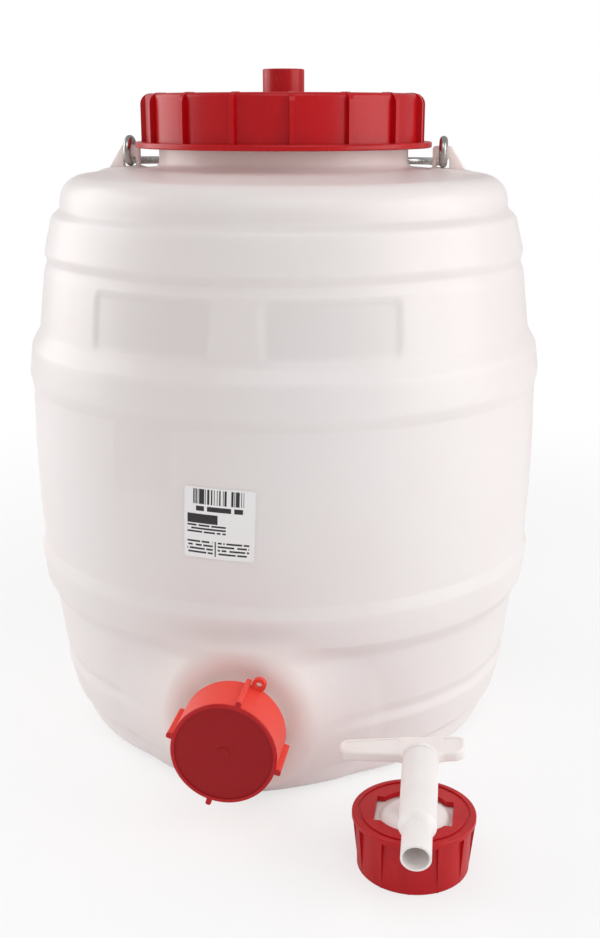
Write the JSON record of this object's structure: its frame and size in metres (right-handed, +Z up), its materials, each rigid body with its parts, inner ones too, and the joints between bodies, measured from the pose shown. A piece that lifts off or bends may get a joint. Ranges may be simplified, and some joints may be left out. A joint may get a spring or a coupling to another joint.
{
  "type": "carboy with spigot",
  "caption": "Round plastic carboy with a ribbed red screw lid, wire bail and capped outlet, and its loose tap in a ribbed union nut standing beside it.",
  "frame": {"origin": "on the floor, at the middle of the drum's base", "axes": "+Z up along the drum's axis, -Y along the outlet, towards the front, +X and -X towards the bail's ears"},
  "size_m": [0.2772, 0.3685, 0.3535],
  "materials": {
    "natural_polyethylene": "natural polyethylene, milky and slightly glossy",
    "label_paper": "coated white paper with black print",
    "red_plastic": "glossy red moulded plastic",
    "seal_rubber": "pale soft foam sheet",
    "bail_steel": "bright zinc-plated wire",
    "tap_plastic": "white moulded plastic, slightly translucent"
  },
  "bodies": {
    "drum": {"drum": "natural_polyethylene", "label": "label_paper", "tap_body": "tap_plastic", "tap_gasket": "seal_rubber"},
    "lid_lift": {"lid_gasket": "seal_rubber"},
    "lid": {"lid": "red_plastic"},
    "bail": {"bail": "bail_steel"},
    "cap_lift": {"outlet_seal": "seal_rubber"},
    "cap": {"outlet_cap": "red_plastic"},
    "nut": {"union_nut": "red_plastic"},
    "tap_plug": {"tap_plug": "tap_plastic"}
  },
  "joints": [
    {"name": "lid_lift", "type": "slide", "parent": "drum", "child": "lid_lift", "axis": [0, 0, 1], "range_m": [0, 0.01]},
    {"name": "lid_turn", "type": "hinge", "parent": "lid_lift", "child": "lid", "pos_m": [0, 0, 0.3383], "axis": [0, 0, 1], "range_deg": [0, 450]},
    {"name": "cap_lift", "type": "slide", "parent": "drum", "child": "cap_lift", "axis": [0, -1, 0], "range_m": [0, 0.006]},
    {"name": "cap_turn", "type": "hinge", "parent": "cap_lift", "child": "cap", "pos_m": [0, -0.16, 0.0482], "axis": [0, -1, 0], "range_deg": [0, 450]},
    {"name": "bail_swing", "type": "hinge", "parent": "drum", "child": "bail", "pos_m": [0, 0, 0.312], "axis": [1, 0, 0], "range_deg": [0, 189]},
    {"name": "nut_turn", "type": "hinge", "parent": "drum", "child": "nut", "pos_m": [0.0881, -0.1697, 0], "axis": [0, 0, 1], "continuous": true},
    {"name": "tap_turn", "type": "hinge", "parent": "drum", "child": "tap_plug", "pos_m": [0.0903, -0.16962, 0.048], "axis": [-0.0381, 0.9928, 0.1132], "range_deg": [0, 95]}
  ],
  "couplings": [
    {"joint": "lid_lift", "follows": "lid_turn", "m_per_rad": 0.001273},
    {"joint": "cap_lift", "follows": "cap_turn", "m_per_rad": 0.0007639}
  ]
}
